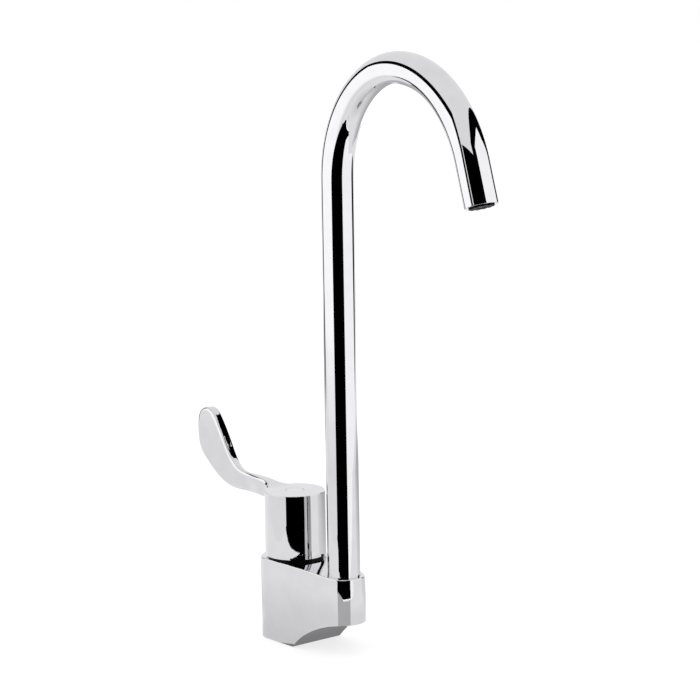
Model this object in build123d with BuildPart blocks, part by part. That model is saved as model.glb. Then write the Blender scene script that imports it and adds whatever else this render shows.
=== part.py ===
from build123d import *
from math import asin, atan2, cos, hypot, radians, sin, sqrt
import os

# Three way filtered water tap: a cast body with one turning lever and a tall swivel spout.
# Hot, cold and filtered water come in from below, and the filtered water keeps its own way
# to the outlet. Millimetres, +Z up. The origin is the centre of the tap hole on the deck.
# The spout stands at -Y, over the sink, and the lever points back along +Y.

os.makedirs("parts", exist_ok=True)

# ---------------------------------------------------------------- driving dimensions
# Clearances
turning_gap = 0.3  # between pieces that pass each other
running_fit = 0.1  # radial, round a shaft or a spout that turns
seat_fit = 0.05  # radial, round a piece that stays where it is put
overrun = 1.0  # how far a cut runs past what it cuts

# Body casting
body_wall = 2.1
rear_wall = 4.9
rear_corner_radius = 16.5
flank_run = 9.2  # straight flank in front of the foot
flank_blend = 40.0
crown_start_y = -26.0  # the top falls away from here to the collar
crown_margin = 5.5  # collar front edge to the end of the fall
collar_drop = 3.7
collar_height = 31.5
collar_wall = 3.4
collar_draw_in = 0.65  # how much narrower the collar is at the body's top
draw_in_depth = 19.0
collar_floor = 3.7
scoop_radius = 66.0
scoop_margin = 4.5  # collar front edge to the end of the scoop
top_edge_radius = 0.7

# Inlets, fixing hole and drillings under the cartridge
inlet_radius = 4.5
inlet_depth = 13.0
inlet_circle = 9.5
inlet_angles = {"filtered": 90, "hot": 210, "cold": 330}  # degrees round the tap hole
fixing_radius = 3.4
fixing_depth = 12.0
fixing_y = -11.5
floor_web = 8.5
port_radius = 2.3
gallery_radius = 3.0
filter_drill_radius = 1.5

# Deck seal and port seals
deck_seal_radius = 17.6
deck_seal_width = 2.4
deck_seal_depth = 1.8
port_seal_inset = 0.4
port_seal_width = 1.4
port_seal_depth = 1.6

# Cartridge
cartridge_radius = 17.5
cartridge_height = 26.5
cartridge_base_height = 4.5
cartridge_wall = 2.2
disc_seal_height = 0.8
disc_radius = 14.2
disc_thickness = 4.0
disc_slip = 0.05
carrier_radius = 15.0
carrier_height = 5.5
drive_slot_length = 12.0
drive_slot_width = 5.0
drive_slot_depth = 3.0
stem_flange_radius = 9.0
stem_flange_height = 3.5
stem_radius = 5.5
stem_square = 8.0
stem_seal_radius = 0.65
stem_seal_drop = 8.0  # below the top of the neck
neck_radius = 8.6
neck_height = 12.0
window_width = 6.0
window_height = 5.0
window_count = 4

# Cartridge nut and glide ring
nut_step = 1.1
nut_height = 7.0
nut_hole_radius = 12.5
nut_recess = 1.5
notch_count = 6
notch_width = 4.0
notch_depth = 2.5
glide_lip = 1.8  # how far the glide ring stays inside the body's outline
glide_hole_radius = 14.5
glide_spigot_height = 3.9
glide_spigot_wall = 1.7

# Handle
handle_gap = 1.9
handle_height = 44.5
handle_wall = 2.2
handle_roof = 8.0
handle_rim_radius = 0.4
boss_radius = 8.5
boss_rise = 6.0  # boss underside above the cartridge neck
screw_seat_rise = 6.0  # screw head's seat above the stem
screw_cap_gap = 1.2
screw_radius = 2.4
screw_head_radius = 4.2
screw_head_height = 2.5
screw_length = 14.0
cap_radius = 6.3
cap_height = 3.2
cap_groove = 0.2

# Lever, in the vertical plane through the handle
lever_length = 106.2
lever_height = 44.0  # tip above the handle's top
lever_thickness = 8.0
waist_thickness = 5.2
waist_y = 50.0
root_thickness = 8.4
root_blend = 17.9
fin_width = 27.0
arm_rise = 2.7
arm_depth = 12.1
heel_y = 36.0  # the underside is straight as far as this
heel_rise = 1.6
lever_edge_radius = 2.3
# Side view of the fin: how far short of the lever's end, and how far below its tip
fin_back = ((30.0, 51.0), (8.7, 37.3), (-0.2, 15.5))
fin_top = ((8.4, 0.0), (19.0, 3.7))
fin_inner = ((31.0, 21.4), (39.4, 33.8))
inner_end = (53.0, 3.9)  # where the fin's inner curve meets the arm: y, and z above the handle
root_dip = 2.4
root_reach = 4.0

# Spout
spout_offset = 52.2
spout_turn = -6.0  # degrees from straight ahead, as it stands at rest
tube_radius = 11.0
tube_wall = 1.2
tube_insertion = 1.8  # tube foot below the collar's top
arch_start_z = 320.7
arch_radius = 78.5
arch_sweep = 161.0
outlet_run = 28.0

# Spout tail, its seals and its retaining screw
tail_flange_height = 1.4
tail_spigot_height = 13.0
tail_bore_radius = 6.0
tail_foot_gap = 2.3
thrust_ring_height = 1.0
o_ring_radius = 0.95
gallery_rise = 8.7  # mixed water's way in, above the tail's foot
seal_reach = 4.8  # each rubber ring above or below that way
tail_waist_radius = 8.2
tail_waist_height = 5.4
tail_port_radius = 2.2
groove_rise = 4.7  # screw groove above the upper ring
groove_depth = 1.5
grub_radius = 2.0
grub_tip_radius = 1.2
grub_sink = 0.6

# Filtered water tube
filter_tube_radius = 3.0
filter_tube_wall = 1.0
filter_tube_rise = 1.0  # its foot above the tail's foot
filter_tube_end_gap = 0.5  # its end short of the nozzle's socket floor

# Outlet
aerator_length = 10.0
aerator_wall = 1.5
insert_length = 8.0
insert_proud = 0.9
insert_notches = 12
insert_notch_width = 1.7
insert_notch_depth = 1.8
screen_thickness = 0.6
screen_hole_radius = 0.5
screen_ring_radii = (4.7, 6.6)
screen_hole_counts = (10, 14)
nozzle_wall = 1.1
nozzle_proud = 0.3
nozzle_socket_length = 5.0
washer_height = 1.2
washer_wall = 1.6

# ---------------------------------------------------------------- sizes that follow
cavity_radius = cartridge_radius + running_fit
nut_bore_radius = cavity_radius + nut_step
body_half_width = nut_bore_radius + body_wall
body_rear_y = nut_bore_radius + rear_wall
foot_front_y = -body_half_width
flank_turn_y = foot_front_y - flank_run
cavity_floor_z = inlet_depth + floor_web
shoulder_z = cavity_floor_z + cartridge_height
nut_top_z = shoulder_z + nut_height
body_top_z = nut_top_z + nut_recess
collar_top_z = body_top_z - collar_drop
collar_underside_z = collar_top_z - collar_height
bore_floor_z = collar_underside_z + collar_floor
mouth_radius = tube_radius + running_fit
collar_radius = mouth_radius + collar_wall
tube_bore = tube_radius - tube_wall
bore_radius = tube_bore + running_fit

handle_radius = body_half_width
handle_underside_z = body_top_z + handle_gap
handle_top_z = handle_underside_z + handle_height
roof_z = handle_top_z - handle_roof
skirt_radius = handle_radius - handle_wall
neck_top_z = shoulder_z + neck_height
stem_seal_z = neck_top_z - stem_seal_drop
boss_z = neck_top_z + boss_rise

disc_seal_z = cavity_floor_z + cartridge_base_height
fixed_disc_z = disc_seal_z + disc_seal_height
moving_disc_z = fixed_disc_z + disc_thickness + disc_slip
carrier_z = moving_disc_z + disc_thickness
stem_flange_z = carrier_z + carrier_height
cap_seat_z = handle_top_z - cap_height
screw_seat_z = cap_seat_z - screw_cap_gap - screw_head_height
stem_top_z = screw_seat_z - screw_seat_rise

tube_foot_z = collar_top_z - tube_insertion
tail_shoulder_z = tube_foot_z - tail_flange_height
thrust_ring_z = tail_shoulder_z - running_fit - thrust_ring_height
tail_foot_z = bore_floor_z + tail_foot_gap
gallery_z = tail_foot_z + gallery_rise
lower_seal_z = gallery_z - seal_reach
upper_seal_z = gallery_z + seal_reach
groove_z = upper_seal_z + groove_rise
filter_seat_z = tail_foot_z + filter_tube_rise

# Where each port goes through the cartridge: three ways in and the filtered way out
inlets = {
    name: (inlet_circle * cos(radians(angle)), inlet_circle * sin(radians(angle)))
    for name, angle in inlet_angles.items()
}
filtered_outlet = (0.0, fixing_y)
ports = {f"{name}_inlet_seal": place for name, place in inlets.items()}
ports["filtered_outlet_seal"] = filtered_outlet

# The spout's own plane: local X runs out along the arch and local Y runs up
spout_centre = Vector(0, -spout_offset, 0)
heading = Vector(sin(radians(spout_turn)), -cos(radians(spout_turn)), 0)
arch_plane = Plane(origin=spout_centre, x_dir=heading, z_dir=heading.cross(Vector(0, 0, 1)))
spout_axis = Axis(spout_centre, (0, 0, 1))


def at_spout(height):
    """Horizontal plane on the spout's axis."""
    return Plane(origin=spout_centre + Vector(0, 0, height))


# ---------------------------------------------------------------- body casting
collar_front_y = -spout_offset - collar_radius
scoop_end_y = collar_front_y + scoop_margin


def body_plan(height, radius):
    """A rounded block over the tap hole whose flanks close in, tangent, on the round collar."""
    flank_span = hypot(body_half_width, -spout_offset - flank_turn_y)
    flank_angle = atan2(-spout_offset - flank_turn_y, -body_half_width) + asin(radius / flank_span)
    flank_length = sqrt(flank_span**2 - radius**2)
    tangent = (
        body_half_width + flank_length * cos(flank_angle),
        flank_turn_y + flank_length * sin(flank_angle),
    )
    with BuildSketch(Plane.XY.offset(height)) as plan:
        with BuildLine():
            Line((0, body_rear_y), (body_half_width - rear_corner_radius, body_rear_y))
            RadiusArc(
                (body_half_width - rear_corner_radius, body_rear_y),
                (body_half_width, body_rear_y - rear_corner_radius),
                rear_corner_radius,
            )
            Line((body_half_width, body_rear_y - rear_corner_radius), (body_half_width, flank_turn_y))
            Line((body_half_width, flank_turn_y), tangent)
            RadiusArc(tangent, (0, -spout_offset - radius), radius)
            mirror(about=Plane.YZ)
        make_face()
        flank_turns = plan.vertices().filter_by(lambda corner: abs(corner.Y - flank_turn_y) < seat_fit)
        fillet(flank_turns, flank_blend)
    return plan.sketch


with BuildPart() as tap_body:
    # The collar is even below and draws in a little towards the top
    loft(
        [
            body_plan(body_top_z - draw_in_depth * step, collar_radius - collar_draw_in * max(0, 1 - step))
            for step in (body_top_z / draw_in_depth, 2, 1.35, 1, 2 / 3, 1 / 3, 0)
        ]
    )
    # Side view: flat top that falls to the collar, and the scoop under the nose
    with BuildSketch(Plane.YZ):
        with BuildLine():
            crown = Polyline(
                (crown_start_y, body_top_z),
                (body_rear_y, body_top_z),
                (body_rear_y, 0),
                (foot_front_y, 0),
            )
            RadiusArc(crown @ 1, (scoop_end_y, collar_underside_z), -scoop_radius)
            nose = Polyline(
                (scoop_end_y, collar_underside_z),
                (collar_front_y - overrun, collar_underside_z),
                (collar_front_y - overrun, collar_top_z),
                (collar_front_y + crown_margin, collar_top_z),
            )
            Spline(crown @ 0, nose @ 1, tangents=((-1, 0), (-1, 0)))
        make_face()
    extrude(amount=body_half_width, both=True, mode=Mode.INTERSECT)
    top_faces = tap_body.faces().filter_by(lambda face: face.normal_at().Z > 0.5)
    top_outline = top_faces.edges().filter_by(lambda edge: abs(edge.center().X) > seat_fit)
    fillet(top_outline, top_edge_radius)
    # Cartridge cavity and the wider bore of its nut
    with BuildSketch(Plane.XY.offset(cavity_floor_z)):
        Circle(cavity_radius)
    extrude(amount=body_top_z, mode=Mode.SUBTRACT)
    with BuildSketch(Plane.XY.offset(shoulder_z - seat_fit)):
        Circle(nut_bore_radius)
    extrude(amount=body_top_z, mode=Mode.SUBTRACT)
    # Threaded inlets and their passages up to the cartridge
    with BuildSketch():
        with Locations(*inlets.values()):
            Circle(inlet_radius)
    extrude(amount=inlet_depth, mode=Mode.SUBTRACT)
    with BuildSketch():
        with Locations(*inlets.values()):
            Circle(port_radius)
    extrude(amount=cavity_floor_z, mode=Mode.SUBTRACT)
    # Threaded hole for the fixing stud
    with BuildSketch():
        with Locations((0, fixing_y)):
            Circle(fixing_radius)
    extrude(amount=fixing_depth, mode=Mode.SUBTRACT)
    # Groove of the deck seal
    with BuildSketch():
        Circle(deck_seal_radius + deck_seal_width / 2)
        Circle(deck_seal_radius - deck_seal_width / 2, mode=Mode.SUBTRACT)
    extrude(amount=deck_seal_depth, mode=Mode.SUBTRACT)
    # Spout bore and its wider mouth
    with BuildSketch(at_spout(bore_floor_z)):
        Circle(bore_radius)
    extrude(amount=collar_height, mode=Mode.SUBTRACT)
    with BuildSketch(at_spout(thrust_ring_z)):
        Circle(mouth_radius)
    extrude(amount=collar_height, mode=Mode.SUBTRACT)
    # Mixed water crosses to the spout, and filtered water rises to the foot of its bore
    with BuildSketch(Plane(origin=(0, 0, gallery_z), z_dir=(0, -1, 0))):
        Circle(gallery_radius)
    extrude(amount=spout_offset, mode=Mode.SUBTRACT)
    filter_drill_start = Vector(0, fixing_y, cavity_floor_z - port_radius)
    filter_drill_run = Vector(0, -spout_offset, bore_floor_z + filter_drill_radius) - filter_drill_start
    with BuildSketch(Plane(origin=filter_drill_start, z_dir=filter_drill_run)):
        Circle(filter_drill_radius)
    extrude(amount=filter_drill_run.length, mode=Mode.SUBTRACT)
    with BuildSketch(Plane.XY.offset(filter_drill_start.Z)):
        with Locations(filtered_outlet):
            Circle(port_radius)
    extrude(amount=cartridge_base_height, mode=Mode.SUBTRACT)
    # Cross hole for the spout's retaining screw
    with BuildSketch(Plane(origin=spout_centre + Vector(0, 0, groove_z), z_dir=(1, 0, 0))):
        Circle(grub_radius + seat_fit)
    extrude(amount=body_half_width, mode=Mode.SUBTRACT)

# Rubber ring between the foot and the deck
with BuildPart() as deck_seal:
    with BuildSketch():
        Circle(deck_seal_radius + deck_seal_width / 2 - seat_fit)
        Circle(deck_seal_radius - deck_seal_width / 2 + seat_fit, mode=Mode.SUBTRACT)
    extrude(amount=deck_seal_depth - seat_fit)

# ---------------------------------------------------------------- cartridge
# Plastic base with four ports, and a groove for a seal round each
with BuildPart() as cartridge_base:
    with BuildSketch(Plane.XY.offset(cavity_floor_z)):
        Circle(cartridge_radius)
        with Locations(*ports.values()):
            Circle(port_radius, mode=Mode.SUBTRACT)
    extrude(amount=cartridge_base_height)
    with BuildSketch(Plane.XY.offset(cavity_floor_z)):
        with Locations(*ports.values()):
            Circle(port_radius + port_seal_inset + port_seal_width)
            Circle(port_radius + port_seal_inset, mode=Mode.SUBTRACT)
    extrude(amount=port_seal_depth, mode=Mode.SUBTRACT)


def port_seal(place):
    """Rubber ring in the base's groove, round one port."""
    with BuildPart() as seal:
        with BuildSketch(Plane.XY.offset(cavity_floor_z)):
            with Locations(place):
                Circle(port_radius + port_seal_inset + port_seal_width - seat_fit)
                Circle(port_radius + port_seal_inset + seat_fit, mode=Mode.SUBTRACT)
        extrude(amount=port_seal_depth - seat_fit)
    return seal


port_seals = {name: port_seal(place) for name, place in ports.items()}

# Rubber gasket under the fixed ceramic disc
with BuildPart() as disc_seal:
    with BuildSketch(Plane.XY.offset(disc_seal_z)):
        Circle(disc_radius)
        with Locations(*ports.values()):
            Circle(port_radius, mode=Mode.SUBTRACT)
    extrude(amount=disc_seal_height)

# Ceramic disc that stays still
with BuildPart() as fixed_disc:
    with BuildSketch(Plane.XY.offset(fixed_disc_z)):
        Circle(disc_radius)
        with Locations(*ports.values()):
            Circle(port_radius, mode=Mode.SUBTRACT)
    extrude(amount=disc_thickness)

# Ceramic disc that turns with the lever: its curved window opens one way at a time
with BuildPart() as moving_disc:
    with BuildSketch(Plane.XY.offset(moving_disc_z)):
        Circle(disc_radius)
        SlotArc(CenterArc((0, 0), inlet_circle, 120, 60), 2 * port_radius, mode=Mode.SUBTRACT)
    extrude(amount=disc_thickness)

# Plastic carrier that turns the moving disc
with BuildPart() as disc_carrier:
    with BuildSketch(Plane.XY.offset(carrier_z)):
        Circle(carrier_radius)
    extrude(amount=carrier_height)
    with BuildSketch(Plane.XY.offset(stem_flange_z)):
        Rectangle(drive_slot_length, drive_slot_width)
    extrude(amount=-drive_slot_depth, mode=Mode.SUBTRACT)

# Plastic housing over the discs, with a neck for the stem and side windows for mixed water
with BuildPart() as cartridge_housing:
    with BuildSketch(Plane.XY.offset(disc_seal_z)):
        Circle(cartridge_radius)
    extrude(amount=shoulder_z - disc_seal_z)
    with BuildSketch(Plane.XY.offset(shoulder_z)):
        Circle(neck_radius)
    extrude(amount=neck_height)
    with BuildSketch(Plane.XY.offset(disc_seal_z)):
        Circle(cartridge_radius - cartridge_wall)
    extrude(amount=stem_flange_z + stem_flange_height + turning_gap - disc_seal_z, mode=Mode.SUBTRACT)
    with BuildSketch(Plane.XY.offset(disc_seal_z)):
        Circle(stem_radius + running_fit)
    extrude(amount=neck_top_z - disc_seal_z, mode=Mode.SUBTRACT)
    for turn in range(window_count):
        facing = Vector(0, -1, 0).rotate(Axis.Z, 360 / window_count * turn)
        with BuildSketch(Plane(origin=(0, 0, gallery_z), x_dir=facing.cross(Vector(0, 0, 1)), z_dir=facing)):
            Rectangle(window_width, window_height)
        extrude(amount=cartridge_radius + overrun, mode=Mode.SUBTRACT)

# Brass stem: a tongue in the carrier, a flange under the housing and a square for the handle
with BuildPart() as cartridge_stem:
    with BuildSketch(Plane.XY.offset(stem_flange_z)):
        Circle(stem_flange_radius)
    extrude(amount=stem_flange_height)
    with BuildSketch(Plane.XY.offset(stem_flange_z)):
        Rectangle(drive_slot_length - 2 * seat_fit, drive_slot_width - 2 * seat_fit)
    extrude(amount=seat_fit - drive_slot_depth)
    with BuildSketch(Plane.XY.offset(stem_flange_z)):
        Circle(stem_radius)
    extrude(amount=boss_z - turning_gap - stem_flange_z)
    with BuildSketch(Plane.XY.offset(boss_z - turning_gap)):
        Rectangle(stem_square, stem_square)
    extrude(amount=stem_top_z - boss_z + turning_gap)
    with BuildSketch(Plane.XZ):
        with Locations((stem_radius - stem_seal_radius, stem_seal_z)):
            Rectangle(3 * stem_seal_radius, 2 * stem_seal_radius, align=(Align.MIN, Align.CENTER))
            Circle(stem_seal_radius)
    revolve(axis=Axis.Z, mode=Mode.SUBTRACT)
    with BuildSketch(Plane.XY.offset(stem_top_z)):
        Circle(screw_radius + seat_fit)
    extrude(amount=screw_seat_z - screw_length - overrun - stem_top_z, mode=Mode.SUBTRACT)

# Rubber ring on the stem
with BuildPart() as stem_seal:
    with BuildSketch(Plane.XZ):
        with Locations((stem_radius - stem_seal_radius, stem_seal_z)):
            Circle(stem_seal_radius)
    revolve(axis=Axis.Z)

# Brass ring nut that clamps the cartridge, with notches for its spanner
with BuildPart() as cartridge_nut:
    with BuildSketch(Plane.XY.offset(shoulder_z)):
        Circle(nut_bore_radius - seat_fit)
        Circle(nut_hole_radius, mode=Mode.SUBTRACT)
    extrude(amount=nut_height)
    with BuildSketch(Plane.XY.offset(nut_top_z)):
        with PolarLocations(nut_hole_radius, notch_count):
            Rectangle(notch_width, notch_width)
    extrude(amount=-notch_depth, mode=Mode.SUBTRACT)

# Black plastic ring on which the handle glides: the dark line under the handle
with BuildPart() as glide_ring:
    with BuildSketch(Plane.XY.offset(nut_top_z)):
        Circle(nut_bore_radius - seat_fit)
        Circle(glide_hole_radius, mode=Mode.SUBTRACT)
    extrude(amount=nut_recess)
    with BuildSketch(Plane.XY.offset(body_top_z)):
        Circle(body_half_width - glide_lip)
        Circle(glide_hole_radius, mode=Mode.SUBTRACT)
    extrude(amount=handle_gap - turning_gap)
    with BuildSketch(Plane.XY.offset(handle_underside_z - turning_gap)):
        Circle(skirt_radius - turning_gap)
        Circle(skirt_radius - turning_gap - glide_spigot_wall, mode=Mode.SUBTRACT)
    extrude(amount=glide_spigot_height)

# ---------------------------------------------------------------- handle
# Root of the lever in plan: an arc tangent to the round handle and to the arm
root_centre_x = root_thickness / 2 + root_blend
root_angle = asin(root_centre_x / (handle_radius + root_blend))
root_start = (handle_radius * sin(root_angle), handle_radius * cos(root_angle))
root_end = (root_thickness / 2, (handle_radius + root_blend) * cos(root_angle))
arm_top_z = handle_top_z + arm_rise
lever_tip_z = handle_top_z + lever_height


def fin_points(points):
    """Side-view points of the fin, from distances short of its end and below its tip."""
    return [(lever_length - short, lever_tip_z - below) for short, below in points]


with BuildPart() as lever:
    # Side view of the lever: a level arm that sweeps up into a broad fin
    with BuildSketch(Plane.YZ):
        with BuildLine():
            under = Line((0, arm_top_z - arm_depth - heel_rise), (heel_y, arm_top_z - arm_depth))
            back = Spline(under @ 1, *fin_points(fin_back), tangents=(under % 1, (-0.02, 1)))
            tip = Spline(back @ 1, *fin_points(fin_top), tangents=(back % 1, (-0.62, -0.78)))
            inner = Spline(
                tip @ 1,
                *fin_points(fin_inner),
                (inner_end[0], handle_top_z + inner_end[1]),
                tangents=(tip % 1, (-1, -0.05)),
            )
            root = Spline(
                inner @ 1,
                (root_end[1] - root_reach, handle_top_z + root_dip),
                (root_start[1] - root_reach, handle_top_z),
                tangents=(inner % 1, (-1, 0)),
            )
            Polyline(root @ 1, (0, handle_top_z), under @ 0)
        make_face()
    extrude(amount=handle_radius, both=True)
    # Plan of the lever: wide root, narrow waist, even fin
    with BuildSketch():
        with BuildLine():
            Line((0, 0), root_start)
            RadiusArc(root_start, root_end, root_blend)
            edge = Spline(
                root_end,
                (waist_thickness / 2, waist_y),
                (lever_thickness / 2, lever_length - fin_width),
                tangents=((0, 1), (0, 1)),
            )
            end_line = Line(edge @ 1, (lever_thickness / 2, lever_length + overrun))
            Line(end_line @ 1, (0, lever_length + overrun))
            mirror(about=Plane.YZ)
        make_face()
    extrude(amount=lever_tip_z + overrun, mode=Mode.INTERSECT)
    lever_edges = lever.edges().filter_by_position(Axis.Y, root_start[1], lever_length + overrun)
    fillet(lever_edges.filter_by(Axis.X, reverse=True).filter_by(Axis.Z, reverse=True), lever_edge_radius)

# Handle and lever are one casting, hollow below its roof
with BuildPart() as handle:
    with BuildSketch(Plane.XY.offset(handle_underside_z)):
        Circle(handle_radius)
    extrude(amount=handle_height)
    fillet(handle.faces().sort_by(Axis.Z)[-1].edges(), handle_rim_radius)
    add(lever.part)
    with BuildSketch(Plane.XY.offset(handle_underside_z)):
        Circle(skirt_radius)
    extrude(amount=roof_z - handle_underside_z, mode=Mode.SUBTRACT)
    with BuildSketch(Plane.XY.offset(boss_z)):
        Circle(boss_radius)
    extrude(amount=roof_z - boss_z)
    # Square socket for the stem, screw hole and the recess of the index cap
    with BuildSketch(Plane.XY.offset(boss_z)):
        Rectangle(stem_square + 2 * seat_fit, stem_square + 2 * seat_fit)
    extrude(amount=stem_top_z + turning_gap - boss_z, mode=Mode.SUBTRACT)
    with BuildSketch(Plane.XY.offset(stem_top_z)):
        Circle(screw_radius + turning_gap)
    extrude(amount=handle_top_z - stem_top_z, mode=Mode.SUBTRACT)
    with BuildSketch(Plane.XY.offset(screw_seat_z)):
        Circle(screw_head_radius + turning_gap)
    extrude(amount=handle_top_z - screw_seat_z, mode=Mode.SUBTRACT)
    with BuildSketch(Plane.XY.offset(cap_seat_z)):
        Circle(cap_radius + cap_groove)
    extrude(amount=handle_top_z, mode=Mode.SUBTRACT)

# Screw that holds the handle on the stem
with BuildPart() as handle_screw:
    with BuildSketch(Plane.XY.offset(screw_seat_z)):
        Circle(screw_head_radius)
    extrude(amount=screw_head_height)
    with BuildSketch(Plane.XY.offset(screw_seat_z)):
        Circle(screw_radius)
    extrude(amount=-screw_length)
    with BuildSketch(Plane.XY.offset(screw_seat_z + screw_head_height)):
        RegularPolygon(screw_radius, 6)
    extrude(amount=-screw_head_height / 2, mode=Mode.SUBTRACT)

# Round cap over the screw
with BuildPart() as index_cap:
    with BuildSketch(Plane.XY.offset(cap_seat_z)):
        Circle(cap_radius)
    extrude(amount=cap_height)
    fillet(index_cap.faces().sort_by(Axis.Z)[-1].edges(), cap_groove)

# ---------------------------------------------------------------- spout
with BuildPart() as spout_tube:
    with BuildLine(arch_plane) as water_way:
        rise = Line((0, tube_foot_z), (0, arch_start_z))
        arch = CenterArc((arch_radius, arch_start_z), arch_radius, 180, -arch_sweep)
        outlet_turn = radians(arch_sweep)
        arch_end = (
            arch_radius * (1 - cos(outlet_turn)),
            arch_start_z + arch_radius * sin(outlet_turn),
        )
        outlet_end = (
            arch_end[0] + outlet_run * sin(outlet_turn),
            arch_end[1] + outlet_run * cos(outlet_turn),
        )
        Line(arch_end, outlet_end)
    with BuildSketch(at_spout(tube_foot_z)):
        Circle(tube_radius)
        Circle(tube_bore, mode=Mode.SUBTRACT)
    sweep(path=water_way.line)

outlet_plane = Plane(
    origin=arch_plane.from_local_coords(Vector(*outlet_end)),
    x_dir=arch_plane.z_dir,
    z_dir=heading * sin(outlet_turn) + Vector(0, 0, cos(outlet_turn)),
)

# Brass tail brazed into the tube: it turns in the collar on two rubber rings
with BuildPart() as spout_tail:
    with BuildSketch(at_spout(tail_foot_z)):
        Circle(tube_bore)
    extrude(amount=tail_shoulder_z - tail_foot_z)
    with BuildSketch(at_spout(tail_shoulder_z)):
        Circle(tube_radius - seat_fit)
    extrude(amount=tail_flange_height)
    with BuildSketch(at_spout(tube_foot_z)):
        Circle(tube_bore - seat_fit)
    extrude(amount=tail_spigot_height)
    for groove_centre, groove_height, depth in (
        (lower_seal_z, 2 * o_ring_radius + 2 * seat_fit, 2 * o_ring_radius),
        (upper_seal_z, 2 * o_ring_radius + 2 * seat_fit, 2 * o_ring_radius),
        (gallery_z, tail_waist_height, tube_bore - tail_waist_radius),
        (groove_z, 2 * grub_tip_radius + 2 * turning_gap, groove_depth),
    ):
        with BuildSketch(at_spout(groove_centre)):
            Circle(tube_bore)
            Circle(tube_bore - depth, mode=Mode.SUBTRACT)
        extrude(amount=groove_height / 2, both=True, mode=Mode.SUBTRACT)
    with BuildSketch(at_spout(gallery_z - tail_waist_height / 2)):
        Circle(tail_bore_radius)
    extrude(amount=tube_foot_z, mode=Mode.SUBTRACT)
    with BuildSketch(at_spout(tail_foot_z)):
        Circle(filter_tube_radius + seat_fit)
    extrude(amount=gallery_z - tail_foot_z, mode=Mode.SUBTRACT)
    for side_dir in ((1, 0, 0), (0, 1, 0)):
        with BuildSketch(Plane(origin=spout_centre + Vector(0, 0, gallery_z), z_dir=side_dir)):
            Circle(tail_port_radius)
        extrude(amount=tube_bore, both=True, mode=Mode.SUBTRACT)


def spout_seal(height):
    """Rubber ring round the spout's tail."""
    with BuildPart() as seal:
        with BuildSketch(Plane(origin=spout_centre, x_dir=(1, 0, 0), z_dir=(0, -1, 0))):
            with Locations((tube_bore - o_ring_radius, height)):
                Circle(o_ring_radius)
        revolve(axis=spout_axis)
    return seal


lower_spout_seal = spout_seal(lower_seal_z)
upper_spout_seal = spout_seal(upper_seal_z)

# Plastic ring under the tail's flange, which carries the spout
with BuildPart() as thrust_ring:
    with BuildSketch(at_spout(thrust_ring_z)):
        Circle(mouth_radius - seat_fit)
        Circle(bore_radius, mode=Mode.SUBTRACT)
    extrude(amount=thrust_ring_height)

# Screw in the collar's side whose tip runs in the tail's groove and keeps the spout down
grub_inner_x = bore_radius + seat_fit
grub_outer_x = collar_radius - grub_sink
grub_tip_x = tube_bore - groove_depth + turning_gap
with BuildPart() as spout_grub_screw:
    with BuildSketch(Plane(origin=spout_centre + Vector(grub_inner_x, 0, groove_z), z_dir=(1, 0, 0))):
        Circle(grub_radius)
    extrude(amount=grub_outer_x - grub_inner_x)
    with BuildSketch(Plane(origin=spout_centre + Vector(grub_tip_x, 0, groove_z), z_dir=(1, 0, 0))):
        Circle(grub_tip_radius)
    extrude(amount=grub_inner_x - grub_tip_x)
    with BuildSketch(Plane(origin=spout_centre + Vector(grub_outer_x, 0, groove_z), z_dir=(1, 0, 0))):
        RegularPolygon(grub_tip_radius, 6)
    extrude(amount=-grub_radius, mode=Mode.SUBTRACT)

# ---------------------------------------------------------------- filtered water way
aerator_radius = tube_bore - seat_fit
insert_radius = aerator_radius - aerator_wall - seat_fit
screen_top = insert_length + screen_thickness
nozzle_length = screen_top + seat_fit + nozzle_wall + nozzle_socket_length

# Narrow tube inside the spout, from the foot of the tail into the outlet's nozzle
filter_tube_run = outlet_run - nozzle_length + nozzle_socket_length - filter_tube_end_gap
filter_tube_end = (
    arch_end[0] + filter_tube_run * sin(outlet_turn),
    arch_end[1] + filter_tube_run * cos(outlet_turn),
)
with BuildPart() as filter_tube:
    with BuildLine(arch_plane) as filter_way:
        Line((0, filter_seat_z), (0, arch_start_z))
        CenterArc((arch_radius, arch_start_z), arch_radius, 180, -arch_sweep)
        Line(arch_end, filter_tube_end)
    with BuildSketch(at_spout(filter_seat_z)):
        Circle(filter_tube_radius)
        Circle(filter_tube_radius - filter_tube_wall, mode=Mode.SUBTRACT)
    sweep(path=filter_way.line)

# Nozzle that takes the filtered water through the middle of the aerator
with BuildPart() as filter_nozzle:
    with BuildSketch(outlet_plane.offset(-nozzle_length)):
        Circle(filter_tube_radius + nozzle_wall)
    extrude(amount=nozzle_socket_length + nozzle_wall)
    with BuildSketch(outlet_plane.offset(-nozzle_length)):
        Circle(filter_tube_radius)
    extrude(amount=nozzle_length + nozzle_proud)
    with BuildSketch(outlet_plane.offset(-nozzle_length)):
        Circle(filter_tube_radius + seat_fit)
    extrude(amount=nozzle_socket_length, mode=Mode.SUBTRACT)
    with BuildSketch(outlet_plane.offset(-nozzle_length)):
        Circle(filter_tube_radius - filter_tube_wall)
    extrude(amount=nozzle_length + nozzle_proud, mode=Mode.SUBTRACT)

# ---------------------------------------------------------------- aerator
# Brass sleeve screwed into the tube's end
with BuildPart() as aerator_sleeve:
    with BuildSketch(outlet_plane.offset(-aerator_length)):
        Circle(aerator_radius)
        Circle(aerator_radius - aerator_wall, mode=Mode.SUBTRACT)
    extrude(amount=aerator_length)

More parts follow.
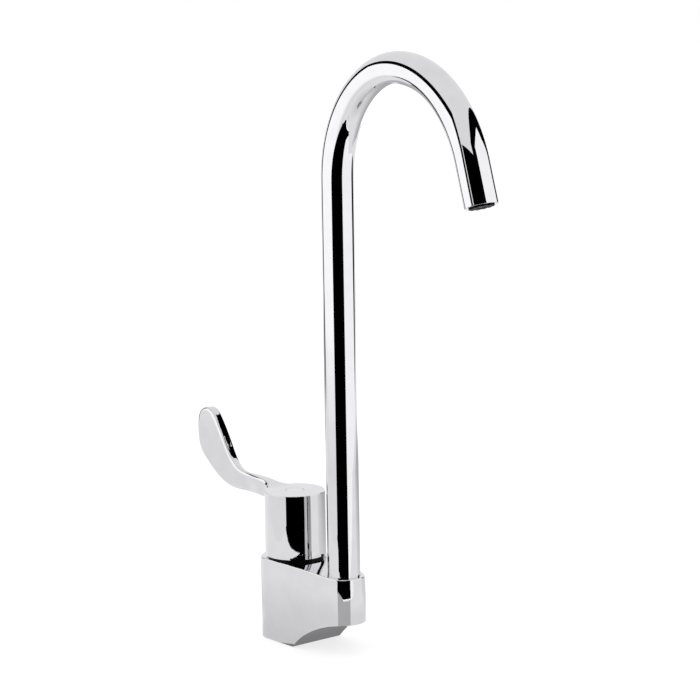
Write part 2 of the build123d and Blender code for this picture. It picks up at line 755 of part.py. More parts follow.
# Dark plastic insert with a toothed rim, standing a little proud of the tube
with BuildPart() as aerator_insert:
    with BuildSketch(outlet_plane.offset(-insert_length)):
        Circle(insert_radius)
        Circle(filter_tube_radius + seat_fit, mode=Mode.SUBTRACT)
    extrude(amount=insert_length + insert_proud)
    with BuildSketch(outlet_plane.offset(insert_proud)):
        with PolarLocations(insert_radius, insert_notches):
            Rectangle(2 * insert_notch_width, insert_notch_width)
    extrude(amount=-insert_notch_depth, mode=Mode.SUBTRACT)

# Fine steel screen over the insert
with BuildPart() as aerator_screen:
    with BuildSketch(outlet_plane.offset(-screen_top)):
        Circle(insert_radius)
        Circle(filter_tube_radius + seat_fit, mode=Mode.SUBTRACT)
        for ring_radius, hole_count in zip(screen_ring_radii, screen_hole_counts):
            with PolarLocations(ring_radius, hole_count):
                Circle(screen_hole_radius, mode=Mode.SUBTRACT)
    extrude(amount=screen_thickness)

# Rubber washer between the sleeve and the tube
with BuildPart() as aerator_washer:
    with BuildSketch(outlet_plane.offset(-aerator_length - washer_height)):
        Circle(aerator_radius)
        Circle(aerator_radius - washer_wall, mode=Mode.SUBTRACT)
    extrude(amount=washer_height)

# ---------------------------------------------------------------- one file per piece
pieces = {
    "tap_body": tap_body,
    "deck_seal": deck_seal,
    "cartridge_base": cartridge_base,
    **port_seals,
    "disc_seal": disc_seal,
    "fixed_disc": fixed_disc,
    "moving_disc": moving_disc,
    "disc_carrier": disc_carrier,
    "cartridge_housing": cartridge_housing,
    "cartridge_stem": cartridge_stem,
    "stem_seal": stem_seal,
    "cartridge_nut": cartridge_nut,
    "glide_ring": glide_ring,
    "handle": handle,
    "handle_screw": handle_screw,
    "index_cap": index_cap,
    "spout_tube": spout_tube,
    "spout_tail": spout_tail,
    "lower_spout_seal": lower_spout_seal,
    "upper_spout_seal": upper_spout_seal,
    "thrust_ring": thrust_ring,
    "spout_grub_screw": spout_grub_screw,
    "filter_tube": filter_tube,
    "filter_nozzle": filter_nozzle,
    "aerator_sleeve": aerator_sleeve,
    "aerator_insert": aerator_insert,
    "aerator_screen": aerator_screen,
    "aerator_washer": aerator_washer,
}
for name, piece in pieces.items():
    piece.part.label = name
    export_step(piece.part, f"parts/{name}.step")
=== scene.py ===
from math import cos, pi, radians, sin

import bpy
from mathutils import Matrix, Vector


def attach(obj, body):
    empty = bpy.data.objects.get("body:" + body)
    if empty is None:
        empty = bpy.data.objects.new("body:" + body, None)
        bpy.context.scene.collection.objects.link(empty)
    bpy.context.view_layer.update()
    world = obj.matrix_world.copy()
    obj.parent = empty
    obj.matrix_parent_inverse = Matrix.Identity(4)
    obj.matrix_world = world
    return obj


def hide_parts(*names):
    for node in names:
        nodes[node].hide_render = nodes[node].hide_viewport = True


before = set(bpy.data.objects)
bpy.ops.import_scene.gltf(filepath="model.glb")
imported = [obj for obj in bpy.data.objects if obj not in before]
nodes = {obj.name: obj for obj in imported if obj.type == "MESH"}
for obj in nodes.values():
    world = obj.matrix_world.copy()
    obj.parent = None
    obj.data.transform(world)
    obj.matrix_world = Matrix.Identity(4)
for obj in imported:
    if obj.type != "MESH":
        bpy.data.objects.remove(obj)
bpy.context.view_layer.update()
scene = bpy.context.scene
scene.view_settings.view_transform = "Standard"

# ---------------------------------------------------------------- camera
# The photograph is taken from the front left, a little above the tap, with a
# long lens. Place, turn, tilt and lens were fitted to outlines in the photograph.
camera_bearing = radians(-39.10)
camera_data = bpy.data.cameras.new("photo_camera")
camera_data.lens = 146.46
camera_data.sensor_width = 36.0
camera = bpy.data.objects.new("photo_camera", camera_data)
camera.matrix_world = (
    Matrix.Translation((-1.16992, -1.50214, 0.54837))
    @ Matrix.Rotation(camera_bearing, 4, "Z")
    @ Matrix.Rotation(radians(79.62), 4, "X")
    @ Matrix.Rotation(radians(-0.946), 4, "Z")
)
scene.collection.objects.link(camera)
scene.camera = camera


# ---------------------------------------------------------------- studio
# A pale table in soft even light. Chrome only shows what stands round it, so
# the reflections get the white boxes and the dark gap of a small photo studio.
def linear(hex_colour):
    """A colour written as sRGB hex, as the linear values that Blender wants."""
    parts = [int(hex_colour[i : i + 2], 16) / 255 for i in (1, 3, 5)]
    return [p / 12.92 if p <= 0.04045 else ((p + 0.055) / 1.055) ** 2.4 for p in parts] + [1.0]


def node(tree, kind, inputs=None, **settings):
    """Adds one node. inputs gives each of its sockets a value or the socket that feeds it."""
    made = tree.nodes.new(kind)
    for name, value in settings.items():
        setattr(made, name, value)
    for socket, value in (inputs or {}).items():
        if isinstance(value, bpy.types.NodeSocket):
            tree.links.new(value, made.inputs[socket])
        else:
            made.inputs[socket].default_value = value
    return made


def place(toward, right, height):
    """A point given from the tap hole: towards the camera, to its right, and up."""
    ahead = Vector((sin(camera_bearing), -cos(camera_bearing), 0))
    aside = Vector((cos(camera_bearing), sin(camera_bearing), 0))
    return ahead * toward + aside * right + Vector((0, 0, height))


world = bpy.data.worlds.new("studio")
world.use_nodes = True
scene.world = world
tree = world.node_tree
tree.nodes.clear()
white_room = node(tree, "ShaderNodeBackground", {"Color": linear("#ffffff"), "Strength": 1.0})
node(tree, "ShaderNodeOutputWorld", {"Surface": white_room.outputs[0]})


def studio_card(name, corners, brightness, fade=None):
    """A flat card that only reflections see.

    A fade says what it follows, from where to where, and its last brightness.
    """
    mesh = bpy.data.meshes.new(name)
    mesh.from_pydata([place(*corner) for corner in corners], [], [tuple(range(len(corners)))])
    material = bpy.data.materials.new(name)
    material.use_nodes = True
    tree = material.node_tree
    tree.nodes.clear()
    glow = node(tree, "ShaderNodeEmission", {"Color": linear("#ffffff"), "Strength": brightness})
    if fade:
        follows, start, end, last = fade
        where = node(tree, "ShaderNodeTexCoord").outputs["Object"]
        if follows == "reach":
            measure = node(tree, "ShaderNodeVectorMath", {0: where}, operation="LENGTH")
        else:
            along = {"height": place(0, 0, 1), "toward": place(1, 0, 0)}[follows]
            measure = node(tree, "ShaderNodeVectorMath", {0: where, 1: along}, operation="DOT_PRODUCT")
        ramp = node(
            tree,
            "ShaderNodeMapRange",
            {
                "Value": measure.outputs["Value"],
                "From Min": start,
                "From Max": end,
                "To Min": brightness,
                "To Max": last,
            },
        )
        tree.links.new(ramp.outputs["Result"], glow.inputs["Strength"])
    node(tree, "ShaderNodeOutputMaterial", {"Surface": glow.outputs[0]})
    mesh.materials.append(material)
    card = bpy.data.objects.new(name, mesh)
    scene.collection.objects.link(card)
    card.visible_camera = False
    card.visible_diffuse = False
    card.visible_shadow = False


def level_card(name, height, outline, brightness, fade=None):
    """A card that lies flat: its outline is towards the camera and to its right."""
    studio_card(name, [(*corner, height) for corner in outline], brightness, fade)


def wall(name, start, heading, near, far, low, high, brightness, fade=None):
    """An upright card that runs from start along a heading, between two distances."""
    ends = [(start[0] + heading[0] * d, start[1] + heading[1] * d) for d in (near, far)]
    corners = [(*ends[0], low), (*ends[1], low), (*ends[1], high), (*ends[0], high)]
    studio_card(name, corners, brightness, fade)


# The table's front edge is round. Its points run from its left to its right, and
# its last few millimetres catch the light.
table_round = 0.253
table_middle = 0.03
lit_edge = 0.007
table_level = -0.002
lying_level = -0.0015
table_end = 3.0
table_wing = [(0.285, -0.2), (0.278, -0.153), (0.262, -0.137), (0.245, -0.118)]
edge_angles = [radians(-24 + 3 * step) for step in range(21)]
table_edge, inner_edge = [
    [(size * cos(a), table_middle + size * sin(a)) for a in edge_angles]
    for size in (table_round, table_round - lit_edge)
]
# Painted shade: the table card is darker near the tap hole and brightens out to 0.2 m, for the tap's
# shade round its foot.
level_card(
    "table_in_reflections",
    table_level,
    [
        *table_wing,
        *table_edge,
        (0.05, table_end),
        (-table_end, table_end),
        (-table_end, -table_end),
        (0.285, -table_end),
    ],
    0.82,
    ("reach", 0.04, 0.2, 1.05),
)
level_card("bright_table_edge", lying_level, table_edge + inner_edge[::-1], 1.6)
# A dark card under the nose: painted shade, the tap's shadow on the table, which the scoop and the foot
# reflect.
level_card("painted_shade_under_nose", -0.001, [(0.0, -0.02), (0.075, 0.0), (0.07, 0.07), (0.0, 0.06)], 0.27)

# The table behind the tap is greyer, with one bright part, and in front of it
# there is only the dark room.
level_card(
    "table_behind",
    lying_level,
    [(-0.03, -0.1), (-0.03, 0.6), (-0.55, 0.6), (-0.55, -0.1)],
    0.95,
    ("toward", -0.03, -0.3, 0.55),
)
bright_part = [(-0.6, -0.03), (-0.6, 0.5), (-1.2, 0.5), (-1.2, -0.03)]
level_card("bright_table_behind", lying_level, bright_part, 1.7)
grey_part = [(-0.6, -0.1), (-0.6, -1.4), (-1.1, -1.4), (-1.1, -0.1)]
level_card("grey_table_behind", lying_level, grey_part, 0.47)
level_card("dark_floor", -0.45, [(0.25, -1.5), (0.25, 1.2), (1.6, 1.2), (1.6, -1.5)], 0.0)
wall("dark_front", (1.0, 0.0), (0, 1), -0.95, 0.45, -0.45, 0.82, 0.0)
wall("bright_front_edge", (1.0, 0.0), (0, 1), 0.45, 0.5, -0.45, 0.9, 1.6)

# A light box stands on each side in a black frame, and a third lights the back.
left_heading = (-0.92, -0.39)
wall("left_box_frame", (0.30, -0.20), left_heading, -0.07, 1.0, 0.05, 0.65, 0.0)
left_fade = ("height", 0.06, 0.17, 1.4)
wall("left_box", (0.298, -0.195), left_heading, 0.0, 0.62, 0.0, 0.525, 1.0, left_fade)
right_heading = (-0.914, 0.407)
wall("right_box_frame", (0.655, 0.3836), right_heading, -0.364, 2.54, -1.0, 0.99, 0.0)
right_start = (0.653, 0.379)
right_box = [(0.065, -1.0), (1.063, -1.0), (1.063, 0.5), (0.74, 0.62), (0.66, 0.745), (0.065, 0.733)]
right_corners = [
    (right_start[0] + right_heading[0] * d, right_start[1] + right_heading[1] * d, height)
    for d, height in right_box
]
studio_card("right_box", right_corners, 1.3)
wall("back_light", (-4.0, 0.0), (0, 1), -1.0, 1.5, 0.0, 0.85, 1.6)

# A low pale card on the table paints a highlight, the white hook at the foot of the
# handle's dark band: its right part lights the handle only. A grey card in front of the
# collar is painted shade: it makes the column under its dark patch.
hook_reach = 0.2
hook_brightness = 1.05
hook_left = [(-0.146, 0.028), (-0.1366, 0.0243), (-0.1312, 0.0203), (-0.1108, 0.02), (-0.0876, 0.0196)]
hook_left += [(-0.0876, 0.008), (-0.1088, 0.0058), (-0.13, 0.003), (-0.146, 0.003)]
studio_card("painted_highlight_hook_card_left", [(hook_reach, *point) for point in hook_left], hook_brightness)
hook_right = [(-0.0876, 0.0196), (-0.061, 0.0189), (-0.027, 0.0193), (0.0113, 0.0181), (0.0551, 0.0155)]
hook_right += [(0.0156, 0.015), (-0.016, 0.014), (-0.0623, 0.0105), (-0.0876, 0.008)]
studio_card("painted_highlight_hook_card_right", [(hook_reach, *point) for point in hook_right], hook_brightness)
seen_in_handle = bpy.data.collections.new("seen_in_handle")
seen_in_handle.objects.link(nodes["handle"])
bpy.data.objects["painted_highlight_hook_card_right"].light_linking.receiver_collection = seen_in_handle
# Painted shade: this grey card darkens the collar's reflection into the column below its dark patch.
column_reach = 0.078
column_card = [(0.011, 0.0), (0.0515, 0.0), (0.0515, 0.034), (0.0465, 0.033), (0.03, 0.033)]
column_card += [(0.0284, 0.0352), (0.0239, 0.0368), (0.0181, 0.0383), (0.011, 0.0395)]
studio_card("painted_shade_column_card", [(column_reach, *point) for point in column_card], 0.57)

# The floor that the camera sees. It lifts itself to white for the camera alone,
# and keeps the tap's shadow.
floor_mesh = bpy.data.meshes.new("floor")
floor_half, floor_level = 4, -0.0005
floor_signs = ((-1, -1), (1, -1), (1, 1), (-1, 1))
floor_corners = [(x * floor_half, y * floor_half, floor_level) for x, y in floor_signs]
floor_mesh.from_pydata(floor_corners, [], [(0, 1, 2, 3)])
floor = bpy.data.objects.new("floor", floor_mesh)
scene.collection.objects.link(floor)
floor.visible_glossy = False
floor_paint = bpy.data.materials.new("white_table_laminate")
floor_paint.use_nodes = True
tree = floor_paint.node_tree
tree.nodes.clear()
seen_by = node(tree, "ShaderNodeLightPath")
matt = node(tree, "ShaderNodeBsdfDiffuse", {"Color": linear("#a5a5a5")})
lift = node(
    tree,
    "ShaderNodeEmission",
    {"Color": linear("#dadada"), "Strength": seen_by.outputs["Is Camera Ray"]},
)
both = node(tree, "ShaderNodeAddShader", {0: matt.outputs[0], 1: lift.outputs[0]})
node(tree, "ShaderNodeOutputMaterial", {"Surface": both.outputs[0]})
floor_mesh.materials.append(floor_paint)


# ---------------------------------------------------------------- body casting
# One brass casting with the foot, the nose and the collar for the spout. It is
# ground and polished by hand, then nickel and chrome plated to a bright mirror.
def new_material(name):
    """An empty material: itself, its node tree, its shader and the piece's own coordinates."""
    material = bpy.data.materials.new(name)
    material.use_nodes = True
    tree = material.node_tree
    tree.nodes.clear()
    shader = node(tree, "ShaderNodeBsdfPrincipled")
    node(tree, "ShaderNodeOutputMaterial", {"Surface": shader.outputs[0]})
    where = node(tree, "ShaderNodeTexCoord").outputs["Object"]
    return material, tree, shader, where


def spread(tree, pattern, low, high):
    """The middle of a noise pattern, stretched from low to high."""
    inputs = {"Value": pattern, "From Min": 0.3, "From Max": 0.7, "To Min": low, "To Max": high}
    return node(tree, "ShaderNodeMapRange", inputs).outputs["Result"]


def tint(tree, shader, pattern, first, second):
    """Colours the surface between two hex colours by a pattern."""
    inputs = {0: spread(tree, pattern, 0.0, 1.0), 6: linear(first), 7: linear(second)}
    mixed = node(tree, "ShaderNodeMix", inputs, data_type="RGBA")
    tree.links.new(mixed.outputs[2], shader.inputs["Base Color"])


def relief(tree, shader, pattern, depth):
    """Raises the surface by a pattern, to a depth in metres."""
    bump = node(tree, "ShaderNodeBump", {"Height": pattern, "Strength": 1.0, "Distance": depth})
    tree.links.new(bump.outputs["Normal"], shader.inputs["Normal"])


def dress(material, *names):
    """Gives CAD nodes their material."""
    for name in names:
        nodes[name].data.materials.clear()
        nodes[name].data.materials.append(material)


def chrome_plate(name, wave_length, wave_depth):
    """Bright chrome: a near mirror, very slightly cool, with the slow waves that polishing leaves."""
    material, tree, shader, where = new_material(name)
    shader.inputs["Metallic"].default_value = 1.0
    film = node(tree, "ShaderNodeTexNoise", {"Vector": where, "Scale": 1 / 0.012, "Detail": 3.0})
    tint(tree, shader, film.outputs["Fac"], "#d3d3d6", "#d8d8da")
    tree.links.new(spread(tree, film.outputs["Fac"], 0.012, 0.03), shader.inputs["Roughness"])
    waves = node(tree, "ShaderNodeTexNoise", {"Vector": where, "Scale": 1 / wave_length, "Detail": 1.0})
    relief(tree, shader, waves.outputs["Fac"], wave_depth)
    return material


# The wheel leaves waves about 15 mm long on the broad cast faces.
dress(chrome_plate("chrome_on_polished_cast_brass", 0.015, 8e-6), "tap_body")

# ---------------------------------------------------------------- deck seal
# Ring of black EPDM rubber, moulded and pressed into a groove under the foot.
# It has a dull skin with a little dust from the mould.
rubber, tree, shader, where = new_material("moulded_epdm_rubber")
dust = node(tree, "ShaderNodeTexNoise", {"Vector": where, "Scale": 1 / 0.0015, "Detail": 4.0})
tint(tree, shader, dust.outputs["Fac"], "#101011", "#1f1f20")
tree.links.new(spread(tree, dust.outputs["Fac"], 0.6, 0.8), shader.inputs["Roughness"])
relief(tree, shader, dust.outputs["Fac"], 20e-6)
dress(rubber, "deck_seal")

# ---------------------------------------------------------------- cartridge
# A 35 mm ceramic disc cartridge: base and housing moulded in glass filled
# plastic, its seals of the same rubber, clamped in the body by a brass ring nut.
glass_filled, tree, shader, where = new_material("glass_filled_plastic_moulded")
fibres = node(tree, "ShaderNodeTexVoronoi", {"Vector": where, "Scale": 1 / 0.0012, "Randomness": 1.0})
tint(tree, shader, fibres.outputs["Distance"], "#c6c9cb", "#b9bdc0")
tree.links.new(spread(tree, fibres.outputs["Distance"], 0.38, 0.5), shader.inputs["Roughness"])
relief(tree, shader, fibres.outputs["Distance"], 8e-6)
dress(glass_filled, "cartridge_base", "cartridge_housing")
dress(rubber, "filtered_inlet_seal", "hot_inlet_seal", "cold_inlet_seal", "filtered_outlet_seal")
dress(rubber, "disc_seal", "stem_seal")

# The two discs are pressed and fired alumina, lapped flat: off white and silky,
# with fine grey specks.
alumina, tree, shader, where = new_material("lapped_alumina")
specks = node(tree, "ShaderNodeTexNoise", {"Vector": where, "Scale": 1 / 0.0004, "Detail": 2.0})
tint(tree, shader, specks.outputs["Fac"], "#e9e5dc", "#f0ede6")
tree.links.new(spread(tree, specks.outputs["Fac"], 0.16, 0.26), shader.inputs["Roughness"])
dress(alumina, "fixed_disc", "moving_disc")

# The carrier that turns the upper disc is moulded white acetal, slightly waxy.
acetal, tree, shader, where = new_material("moulded_white_acetal")
shader.inputs["Subsurface Weight"].default_value = 0.15
shader.inputs["Subsurface Scale"].default_value = 0.001
flow = node(tree, "ShaderNodeTexNoise", {"Vector": where, "Scale": 1 / 0.004, "Detail": 3.0})
tint(tree, shader, flow.outputs["Fac"], "#e6e6e2", "#eeeeea")
tree.links.new(spread(tree, flow.outputs["Fac"], 0.3, 0.42), shader.inputs["Roughness"])
relief(tree, shader, flow.outputs["Fac"], 6e-6)
dress(acetal, "disc_carrier")

# The stem and the ring nut are turned from brass bar and left bare. The tool's
# lines are drawn 0.35 mm apart, coarser than the real 0.1 mm, so that they show.
turned_brass, tree, shader, where = new_material("turned_brass")
shader.inputs["Metallic"].default_value = 1.0
line_pitch = 0.00035
tarnish = node(tree, "ShaderNodeTexNoise", {"Vector": where, "Scale": 1 / 0.006, "Detail": 3.0})
tint(tree, shader, tarnish.outputs["Fac"], "#c9a257", "#dab96b")
lines = node(
    tree,
    "ShaderNodeTexWave",
    {"Vector": where, "Scale": pi / 10 / line_pitch, "Distortion": 0.6},
    bands_direction="Z",
)
tree.links.new(spread(tree, lines.outputs["Fac"], 0.2, 0.34), shader.inputs["Roughness"])
relief(tree, shader, lines.outputs["Fac"], 8e-6)
dress(turned_brass, "cartridge_stem", "cartridge_nut")

# ---------------------------------------------------------------- glide ring
# Black acetal ring that the handle glides on. Only its edge shows, as the thin
# dark line between handle and body. Moulded with a fine satin grain, and kept
# dull enough to stay black in the narrow gap.
black_acetal, tree, shader, where = new_material("moulded_black_acetal")
shader.inputs["Specular IOR Level"].default_value = 0.12
grain = node(tree, "ShaderNodeTexNoise", {"Vector": where, "Scale": 1 / 0.0006, "Detail": 3.0})
tint(tree, shader, grain.outputs["Fac"], "#020202", "#060606")
tree.links.new(spread(tree, grain.outputs["Fac"], 0.4, 0.55), shader.inputs["Roughness"])
relief(tree, shader, grain.outputs["Fac"], 6e-6)
dress(black_acetal, "glide_ring")

# ---------------------------------------------------------------- handle
# Round handle and lever in one zinc casting, polished and chrome plated. Its
# screw is under a small plated cap that is pressed into the top.
dress(chrome_plate("chrome_on_polished_cast_zinc", 0.012, 6e-6), "handle")
dress(chrome_plate("chrome_on_turned_cap", 0.008, 2e-6), "index_cap")

stainless, tree, shader, where = new_material("stainless_steel_drawn")
shader.inputs["Metallic"].default_value = 1.0
scratches = node(tree, "ShaderNodeTexNoise", {"Vector": where, "Scale": 1 / 0.0008, "Detail": 5.0})
tint(tree, shader, scratches.outputs["Fac"], "#b4b5b6", "#c3c4c5")
tree.links.new(spread(tree, scratches.outputs["Fac"], 0.24, 0.38), shader.inputs["Roughness"])
relief(tree, shader, scratches.outputs["Fac"], 4e-6)
dress(stainless, "handle_screw")

# ---------------------------------------------------------------- spout tail
# Turned brass tail that the tube is brazed to. It turns in the collar on two
# rubber rings and a thrust ring, and a grub screw in its groove holds it down.
dress(turned_brass, "spout_tail")
dress(rubber, "lower_spout_seal", "upper_spout_seal")
dress(acetal, "thrust_ring")
dress(stainless, "spout_grub_screw")

# ---------------------------------------------------------------- spout tube
# Drawn brass tube, 22 mm across, bent over a former, belt polished and chrome
# plated. Drawing leaves very faint waves along its length. Its radius is 0.01 mm
# under the solid's, so that the mesh stays inside the solid's box.
spout_axis = (0.0, -0.0522)
spout_turn = radians(-6)
tube_foot_height = 0.0510
tube_rise = 0.3207 - tube_foot_height
arch_radius = 0.0785
arch_sweep = radians(161)
outlet_run = 0.028
tube_radius = 0.01099
tube_wall = 0.0012
arch_length = arch_radius * arch_sweep
tube_length = tube_rise + arch_length + outlet_run

chrome_tube, tree, shader, where = new_material("chrome_on_drawn_brass_tube")
shader.inputs["Metallic"].default_value = 1.0
film = node(tree, "ShaderNodeTexNoise", {"Vector": where, "Scale": 1 / 0.012, "Detail": 3.0})
tint(tree, shader, film.outputs["Fac"], "#d3d3d6", "#d8d8da")
tree.links.new(spread(tree, film.outputs["Fac"], 0.012, 0.028), shader.inputs["Roughness"])
along_tube = node(tree, "ShaderNodeAttribute", attribute_name="along_tube").outputs["Vector"]
draw_waves = node(tree, "ShaderNodeTexNoise", {"Vector": along_tube, "Scale": 1 / 0.008, "Detail": 1.0})
relief(tree, shader, draw_waves.outputs["Fac"], 5e-6)

# The tree sweeps a section round the spout's centre line: up the column, over
# the arch and down the outlet. A section's points are (station, radius). Notches
# follow a wave round the piece: they start at one height of it and are full depth
# one flank further up.
notch_start = 0.2
notch_flank = 0.25
sweep = bpy.data.node_groups.new("swept_round_the_spout_path", "GeometryNodeTree")
sweep.interface.new_socket("Section", in_out="INPUT", socket_type="NodeSocketGeometry")
sweep.interface.new_socket("Sides", in_out="INPUT", socket_type="NodeSocketInt")
path_sizes = ("Foot height", "Rise", "Arch radius", "Sweep", "Turn")
notch_sizes = ("Notches", "Notch floor", "Notch radius")
for size in path_sizes + notch_sizes:
    sweep.interface.new_socket(size, in_out="INPUT", socket_type="NodeSocketFloat")
sweep.interface.new_socket("Material", in_out="INPUT", socket_type="NodeSocketMaterial")
sweep.interface.new_socket("Piece", in_out="OUTPUT", socket_type="NodeSocketGeometry")
given = node(sweep, "NodeGroupInput").outputs
section = given["Section"]
point_count = node(sweep, "GeometryNodeAttributeDomainSize", {"Geometry": section}, component="MESH")
own_place = node(sweep, "GeometryNodeInputPosition").outputs[0]
across = node(sweep, "ShaderNodeSeparateXYZ", {0: own_place}).outputs
sums = {"rows": point_count.outputs["Point Count"], "row side": across["X"], "column side": across["Y"]}
sums.update({size: given[size] for size in given.keys()})


def work_out(steps):
    """Adds the sums: each is a name, an operation, and the names or numbers that go in."""
    for name, operation, *parts in steps:
        inputs = {i: sums[part] if isinstance(part, str) else part for i, part in enumerate(parts)}
        sums[name] = node(sweep, "ShaderNodeMath", inputs, operation=operation).outputs[0]


work_out(
    [
        ("row place", "ADD", "row side", 0.5),
        ("row scaled", "MULTIPLY", "row place", "rows"),
        ("row rounded", "ROUND", "row scaled"),
        ("row", "MODULO", "row rounded", "rows"),
        ("column place", "ADD", "column side", 0.5),
        ("angle", "MULTIPLY", "column place", 2 * pi),
        ("row count", "ADD", "rows", 1),
        ("column count", "ADD", "Sides", 1),
    ]
)
sheet = node(
    sweep,
    "GeometryNodeMeshGrid",
    {"Size X": 1.0, "Size Y": 1.0, "Vertices X": sums["row count"], "Vertices Y": sums["column count"]},
)
section_point = node(
    sweep,
    "GeometryNodeSampleIndex",
    {"Geometry": section, "Value": own_place, "Index": sums["row"]},
    data_type="FLOAT_VECTOR",
)
section_place = node(sweep, "ShaderNodeSeparateXYZ", {0: section_point.outputs[0]}).outputs
sums["drawn station"], sums["radius"] = section_place["X"], section_place["Y"]
work_out(
    [
        ("notch angle", "MULTIPLY", "angle", "Notches"),
        ("notch wave", "COSINE", "notch angle"),
        ("notch edge", "SUBTRACT", "notch wave", notch_start),
        ("notch slope", "DIVIDE", "notch edge", notch_flank),
        ("outside ring", "GREATER_THAN", "radius", "Notch radius"),
        ("notch low", "MAXIMUM", "notch slope", 0.0),
        ("notch high", "MINIMUM", "notch low", 1.0),
        ("notch", "MULTIPLY", "notch high", "outside ring"),
        ("proud", "SUBTRACT", "drawn station", "Notch floor"),
        ("proud part", "MAXIMUM", "proud", 0.0),
        ("cut away", "MULTIPLY", "proud part", "notch"),
        ("station", "SUBTRACT", "drawn station", "cut away"),
        ("straight", "MINIMUM", "station", "Rise"),
        ("past rise", "SUBTRACT", "station", "Rise"),
        ("from rise", "MAXIMUM", "past rise", 0.0),
        ("arch length", "MULTIPLY", "Arch radius", "Sweep"),
        ("on arch", "MINIMUM", "from rise", "arch length"),
        ("bend", "DIVIDE", "on arch", "Arch radius"),
        ("past arch", "SUBTRACT", "past rise", "arch length"),
        ("outlet", "MAXIMUM", "past arch", 0.0),
        ("sin", "SINE", "bend"),
        ("cos", "COSINE", "bend"),
        ("outwards", "COSINE", "angle"),
        ("sideways", "SINE", "angle"),
        ("out", "MULTIPLY", "radius", "outwards"),
        ("side", "MULTIPLY", "radius", "sideways"),
        ("circle", "ADD", "Arch radius", "out"),
        ("circle forward", "MULTIPLY", "circle", "cos"),
        ("outlet forward", "MULTIPLY", "outlet", "sin"),
        ("forward 1", "SUBTRACT", "Arch radius", "circle forward"),
        ("forward 2", "ADD", "forward 1", "outlet forward"),
        ("back", "MULTIPLY", "forward 2", -1.0),
        ("up 1", "MULTIPLY", "circle", "sin"),
        ("up 2", "MULTIPLY_ADD", "outlet", "cos", "up 1"),
        ("up 3", "ADD", "up 2", "straight"),
        ("up", "ADD", "up 3", "Foot height"),
        ("slow station", "DIVIDE", "station", 12.0),
    ]
)
column = node(sweep, "ShaderNodeCombineXYZ", {"X": sums["side"], "Y": sums["back"], "Z": sums["up"]})
turned = node(
    sweep,
    "ShaderNodeVectorRotate",
    {"Vector": column.outputs[0], "Angle": sums["Turn"]},
    rotation_type="Z_AXIS",
)
moved = node(
    sweep,
    "ShaderNodeVectorMath",
    {0: turned.outputs[0], 1: (*spout_axis, 0.0)},
    operation="ADD",
)
pattern_place = node(
    sweep, "ShaderNodeCombineXYZ", {"X": sums["out"], "Y": sums["side"], "Z": sums["slow station"]}
)
marked = node(
    sweep,
    "GeometryNodeStoreNamedAttribute",
    {"Geometry": sheet.outputs["Mesh"], "Name": "along_tube", "Value": pattern_place.outputs[0]},
    data_type="FLOAT_VECTOR",
)
shaped = node(
    sweep, "GeometryNodeSetPosition", {"Geometry": marked.outputs[0], "Position": moved.outputs[0]}
)
closed = node(sweep, "GeometryNodeMergeByDistance", {"Geometry": shaped.outputs[0], "Distance": 1e-6})
smooth = node(sweep, "GeometryNodeSetShadeSmooth", {"Geometry": closed.outputs[0]})
edge_angle = node(sweep, "GeometryNodeInputMeshEdgeAngle").outputs["Unsigned Angle"]
crisp = node(sweep, "ShaderNodeMath", {0: edge_angle, 1: radians(40)}, operation="GREATER_THAN")
creased = node(
    sweep,
    "GeometryNodeSetShadeSmooth",
    {"Geometry": smooth.outputs[0], "Selection": crisp.outputs[0], "Shade Smooth": False},
    domain="EDGE",
)
whole = node(sweep, "GeometryNodeRealizeInstances", {"Geometry": creased.outputs[0]})
painted = node(
    sweep, "GeometryNodeSetMaterial", {"Geometry": whole.outputs[0], "Material": given["Material"]}
)
node(sweep, "NodeGroupOutput", {"Piece": painted.outputs[0]})


def sweep_section(name, points, material, sides, notches=0.0, notch_floor=1.0, notch_radius=1.0):
    """Runs the tree on a closed section and returns the piece with a plain mesh."""
    mesh = bpy.data.meshes.new(name)
    count = len(points)
    ring = [(i, (i + 1) % count) for i in range(count)]
    mesh.from_pydata([(*point, 0.0) for point in points], ring, [])
    piece = bpy.data.objects.new(name, mesh)
    scene.collection.objects.link(piece)
    modifier = piece.modifiers.new("sweep", "NODES")
    modifier.node_group = sweep
    sizes = {
        "Sides": sides,
        "Foot height": tube_foot_height,
        "Rise": tube_rise,
        "Arch radius": arch_radius,
        "Sweep": arch_sweep,
        "Turn": spout_turn,
        "Notches": notches,
        "Notch floor": notch_floor,
        "Notch radius": notch_radius,
        "Material": material,
    }
    for socket in sweep.interface.items_tree:
        if socket.name in sizes:
            modifier[socket.identifier] = sizes[socket.name]
    shapes = bpy.context.evaluated_depsgraph_get()
    plain = bpy.data.meshes.new_from_object(
        piece.evaluated_get(shapes), preserve_all_data_layers=True, depsgraph=shapes
    )
    piece.modifiers.remove(modifier)
    piece.data = plain
    return piece


def rounded_corner(station, radius, start, size):
    """Points of a quarter round, about its own centre, from a start angle in degrees."""
    angles = [radians(start - step * 18) for step in range(6)]
    return [(station + size * cos(a), radius + size * sin(a)) for a in angles]


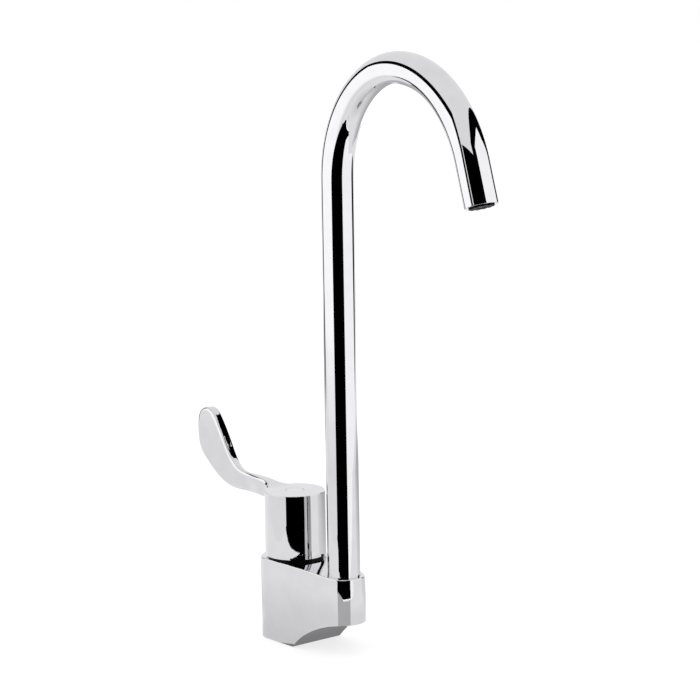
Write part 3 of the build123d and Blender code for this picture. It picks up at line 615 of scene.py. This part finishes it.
arch_steps = 108
rim = 0.0003
stations = [rim * 1.5, rim * 3] + [tube_rise * i / 18 for i in range(1, 19)]
stations += [tube_rise + arch_length * i / arch_steps for i in range(1, arch_steps + 1)]
stations += [tube_length - outlet_run / 2, tube_length - rim * 3, tube_length - rim * 1.5]
bore = tube_radius - tube_wall
tube_section = (
    rounded_corner(rim, tube_radius - rim, 180, rim)
    + [(station, tube_radius) for station in stations]
    + rounded_corner(tube_length - rim, tube_radius - rim, 90, rim)
    + rounded_corner(tube_length - rim, bore + rim, 0, rim)
    + [(station, bore) for station in reversed(stations)]
    + rounded_corner(rim, bore + rim, -90, rim)
)
spout_tube = sweep_section("drawn_spout_tube", tube_section, chrome_tube, 96)
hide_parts("spout_tube")
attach(spout_tube, "spout")

# ---------------------------------------------------------------- filtered water
# Narrow white tube inside the spout and the moulded nozzle that carries the
# filtered water through the middle of the outlet, apart from the mixed water.
dress(acetal, "filter_tube", "filter_nozzle")

# ---------------------------------------------------------------- aerator
# Plated sleeve screwed into the outlet, with a black plastic insert whose teeth
# let a coin turn it, a fine steel screen above it, and a rubber washer.
dress(chrome_plate("chrome_on_turned_brass", 0.006, 2e-6), "aerator_sleeve")
dress(stainless, "aerator_screen")
dress(rubber, "aerator_washer")

insert_radius = 0.0082
insert_bore = 0.00305
insert_proud = 0.0009
insert_length = 0.008
tooth_depth = 0.0018
tooth_root_radius = 0.0065
edge = 0.0002
insert_top = tube_length + insert_proud
insert_foot = tube_length - insert_length
insert_section = (
    [(insert_foot, insert_radius)]
    + [(insert_top - tooth_depth - edge, insert_radius)]
    + rounded_corner(insert_top - edge, insert_radius - edge, 90, edge)
    + [(insert_top, tooth_root_radius + edge / 4), (insert_top, tooth_root_radius - edge / 4)]
    + [(insert_top, insert_bore + edge), (insert_top - edge, insert_bore), (insert_foot, insert_bore)]
)
insert = sweep_section(
    "toothed_outlet_insert",
    insert_section,
    black_acetal,
    288,
    notches=12.0,
    notch_floor=insert_top - tooth_depth,
    notch_radius=tooth_root_radius,
)
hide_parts("aerator_insert")
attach(insert, "spout")
